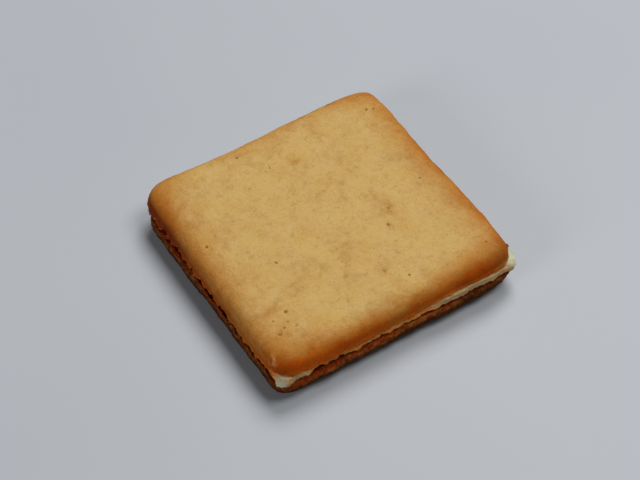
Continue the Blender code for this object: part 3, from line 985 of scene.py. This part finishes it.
# The lower biscuit's colours are darker than the upper one's: painted shade
BOTTOM_STOPS = (
    (0.00, 201, 166, 101), (0.12, 196, 158, 92), (0.30, 188, 140, 74), (0.50, 174, 114, 48),
    (0.70, 156, 88, 28), (0.85, 142, 70, 15), (1.00, 128, 54, 6),
)
TOP_SIDE_STOPS = (
    (0.00, 158, 70, 12), (0.45, 180, 102, 34), (0.75, 204, 138, 66), (1.00, 222, 165, 98),
)
# its crumbly sides too are darker than the upper one's, as painted shade
BOTTOM_SIDE_STOPS = (
    (0.00, 90, 30, 4), (0.35, 120, 54, 11), (0.60, 142, 78, 23), (1.00, 176, 114, 48),
)


# -------- crumbs

# The dark crumb on the rim by the right corner: place, radius and how brown it is. Lengths are in millimetres
RIM_CRUMB = ((27.45, -22.55, 6.65), 0.33, 0.6)
# Crumbs on the lower biscuit's ledge, on the left and along the front: how many, range along the side, range
# of radius, distance out, range across it, height as a part of the radius, and range of browning
LEDGE_CRUMBS = (
    (34, (-23.0, 22.0), (0.12, 0.26), -27.15, (-0.35, 0.15), 0.5, (0.1, 0.9)),
    (22, (-22.0, 22.0), (0.12, 0.24), -27.1, (-0.2, 0.25), 0.4, (0.4, 1.0)),
)
# How many pale flecks cling to the left lip, how brown they are, and where that lip is
LIP_FLECKS, FLECK_BAKE = 34, 0.2
LIP_EDGE, LIP_FROM, LIP_TO = -26.3, -16.0, 23.5


def left_lip(obj):
    """Points of the upper biscuit's lip along most of its left side, in millimetres."""
    start = CROWN_POINTS + RIM_POINTS * (SIDE_ROWS - 1)
    lip = points_of(obj)[start:start + RIM_POINTS] / MM
    return lip[(lip[:, 0] < LIP_EDGE) & (lip[:, 1] > LIP_FROM) & (lip[:, 1] < LIP_TO)]


def crumb_places(draw):
    """Place and radius in millimetres of the crumbs, and how brown they are."""
    places = [RIM_CRUMB]
    for on_front, (count, length, sizes, line, width, lift, browns) in enumerate(LEDGE_CRUMBS):
        for _ in range(count):
            along, size = draw.uniform(*length), draw.uniform(*sizes)
            across = line + draw.uniform(*width)
            place = (along, across) if on_front else (across, along)
            height = BISCUIT_THICKNESS / MM + lift * size
            places.append(((*place, height), size, draw.uniform(*browns)))
    return places


def fleck_places(draw, lip):
    """The same of the flecks."""
    places = []
    for _ in range(LIP_FLECKS):
        x, y, z = lip[draw.randrange(len(lip))]
        place = (x - draw.uniform(0.02, 0.10), y, z + draw.uniform(-0.05, 0.30))
        places.append((place, draw.uniform(0.07, 0.15), FLECK_BAKE))
    return places


def add_crumb(mesh, draw, number, place, size):
    """Adds a lumpy crumb to a mesh, and counts its points."""
    made = bmesh.ops.create_icosphere(mesh, subdivisions=3, radius=size * MM)
    stretch = Vector((draw.uniform(0.7, 1.3), draw.uniform(0.8, 1.4), draw.uniform(0.6, 1.0)))
    turn = Matrix.Rotation(draw.uniform(0, 2 * pi), 3, "Z") @ Matrix.Rotation(draw.uniform(-0.6, 0.6), 3, "X")
    for vertex in made["verts"]:
        way = vertex.co.normalized()
        bump = 1.0 + 0.35 * noise.noise(way * 1.6 + Vector((number * 3.1, 0, 0)))
        bump += 0.18 * noise.noise(way * 3.6 + Vector((0, number * 2.3, 0)))
        vertex.co = turn @ (Vector(vertex.co * stretch) * bump) + Vector(place) * MM
    return len(made["verts"])


def add_crumbs(material, lip):
    """Crumbs on the rim and in the open seam, and pale flecks on the left lip, as one mesh."""
    draw = random.Random(7)
    mesh = bmesh.new()
    crumbs, flecks = crumb_places(draw), fleck_places(random.Random(8), lip)
    bake, pale = [], []
    for number, (place, size, brown) in enumerate(crumbs + flecks):
        count = add_crumb(mesh, draw, number, place, size)
        bake += [brown] * count
        pale += [float(number >= len(crumbs))] * count
    data = bpy.data.meshes.new("rim_crumbs")
    mesh.to_mesh(data)
    mesh.free()
    data.shade_smooth()
    obj = add_object("rim_crumbs", data, material)
    bake, pale = np.array(bake), np.array(pale)
    set_attributes(obj, bake=bake, side=0.7 * (1.0 - pale), pale=pale)
    set_attributes(obj, **dict.fromkeys(("patch", "pore", "red", "foot"), 0 * bake))
    return obj


# -------- stage

# The camera, from a fit to the photo's outline: azimuth and elevation of its gaze in radians, distance from
# its aim, shift to the right and up, aim in the middle of the upper rim, and lens and sensor in millimetres
CAMERA_GAZE = (-0.559033320, 0.872560552)
CAMERA_DISTANCE = 0.355367264
CAMERA_SHIFT = (-0.00142456800, -0.00236077552)
CAMERA_AIM = Vector((*TOP_MIDDLE, BISCUIT_THICKNESS + FILLING_LAYER))
LENS, SENSOR_WIDTH = 101.25, 36.0
# The room's light, and the lights: name, place, aim, width, and power in watts
ROOM_STRENGTH, ROOM_COLOUR = 0.05, (0.95, 0.97, 1.0)
LIGHTS = (
    ("window_far", (0.60, 0.52, 1.10), (0.0, 0.0, 0.0), 0.72, 11.7),
    ("window_near", (0.52, -0.28, 1.12), (0.0, 0.0, 0.0), 0.62, 6.0),
    ("low_fill", (-0.84, -0.14, 0.38), (0.0, 0.0, 0.004), 0.35, 2.20),
)
# The floor: its two tones, half its width, and how far it lies under the cookie
FLOOR_TONES = (linear(177, 181, 187), linear(183, 187, 192))
FLOOR_REACH, FLOOR_GAP = 1.5, 0.02 * MM


def add_camera():
    azimuth, elevation = CAMERA_GAZE
    gaze = Vector((-sin(azimuth) * cos(elevation), cos(azimuth) * cos(elevation), -sin(elevation)))
    right = Vector((cos(azimuth), sin(azimuth), 0.0))
    up = right.cross(gaze)
    data = bpy.data.cameras.new("camera")
    data.sensor_width = SENSOR_WIDTH
    data.lens = LENS
    data.clip_start, data.clip_end = 0.01, 20.0
    obj = add_object("camera", data)
    place = CAMERA_AIM - gaze * CAMERA_DISTANCE + right * CAMERA_SHIFT[0] + up * CAMERA_SHIFT[1]
    turn = Matrix((right, up, -gaze)).transposed().to_4x4()
    obj.matrix_world = Matrix.Translation(place) @ turn
    bpy.context.scene.camera = obj


def add_light(name, place, aim, size, power):
    data = bpy.data.lights.new(name, "AREA")
    data.shape = "DISK"
    data.size = size
    data.energy = power
    turn = (Vector(aim) - Vector(place)).to_track_quat("-Z", "Y").to_matrix().to_4x4()
    add_object(name, data).matrix_world = Matrix.Translation(Vector(place)) @ turn


def add_world():
    world = bpy.data.worlds.new("soft_room")
    world.use_nodes = True
    background = world.node_tree.nodes["Background"]
    background.inputs["Color"].default_value = (*ROOM_COLOUR, 1.0)
    background.inputs["Strength"].default_value = ROOM_STRENGTH
    bpy.context.scene.world = world


def add_floor():
    s = Shader("pale_floor")
    cloud = s.noise(0.15, 2.0, 0.5)
    colour = s.mix(s.remap(cloud, 0.3, 0.7), *FLOOR_TONES)
    normal = s.bump(s.noise(0.004, 2.0, 0.5), 0.00002, 0.3)
    material = s.finish(colour, 0.55, normal, Specular_IOR_Level=0.3)
    mesh = bmesh.new()
    bmesh.ops.create_grid(mesh, x_segments=8, y_segments=8, size=FLOOR_REACH)
    data = bpy.data.meshes.new("floor")
    mesh.to_mesh(data)
    mesh.free()
    obj = add_object("floor", data, material)
    obj.location = (0.0, 0.0, -FLOOR_GAP)


# -------- the whole

def flipped(places):
    """Places on the biscuit that is turned over, as it is made."""
    return tuple((x, -y, radius, depth) for x, y, radius, depth in places)


add_camera()
top_material = baked_material("baked_biscuit_top", TOP_STOPS, TOP_SIDE_STOPS)
bottom_material = baked_material("baked_biscuit_bottom", BOTTOM_STOPS, BOTTOM_SIDE_STOPS)

top = biscuit("top_biscuit_baked", TOP_CORNERS, TOP_DIMPLES, TOP_DENTS, TOP_SEED, top_material, upper=True)
move_mesh(top, (*TOP_MIDDLE, BISCUIT_THICKNESS + FILLING_LAYER))
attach(top, "root")
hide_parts("top_biscuit")

bottom = biscuit(
    "bottom_biscuit_baked", tuple(reversed(BOTTOM_CORNERS)), flipped(BOTTOM_DIMPLES), flipped(BOTTOM_DENTS),
    BOTTOM_SEED, bottom_material, upper=False,
)
move_mesh(bottom, (*BOTTOM_MIDDLE, BISCUIT_THICKNESS), Matrix.Rotation(pi, 3, "X"))
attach(bottom, "root")
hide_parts("bottom_biscuit")

filling = cream(cream_material())
move_mesh(filling, (*TOP_MIDDLE, BISCUIT_THICKNESS))
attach(filling, "root")
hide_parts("filling")

crumbs = add_crumbs(bottom_material, left_lip(top))
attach(crumbs, "root")

add_floor()
add_world()
for light in LIGHTS:
    add_light(*light)
bpy.context.scene.view_settings.view_transform = "Standard"
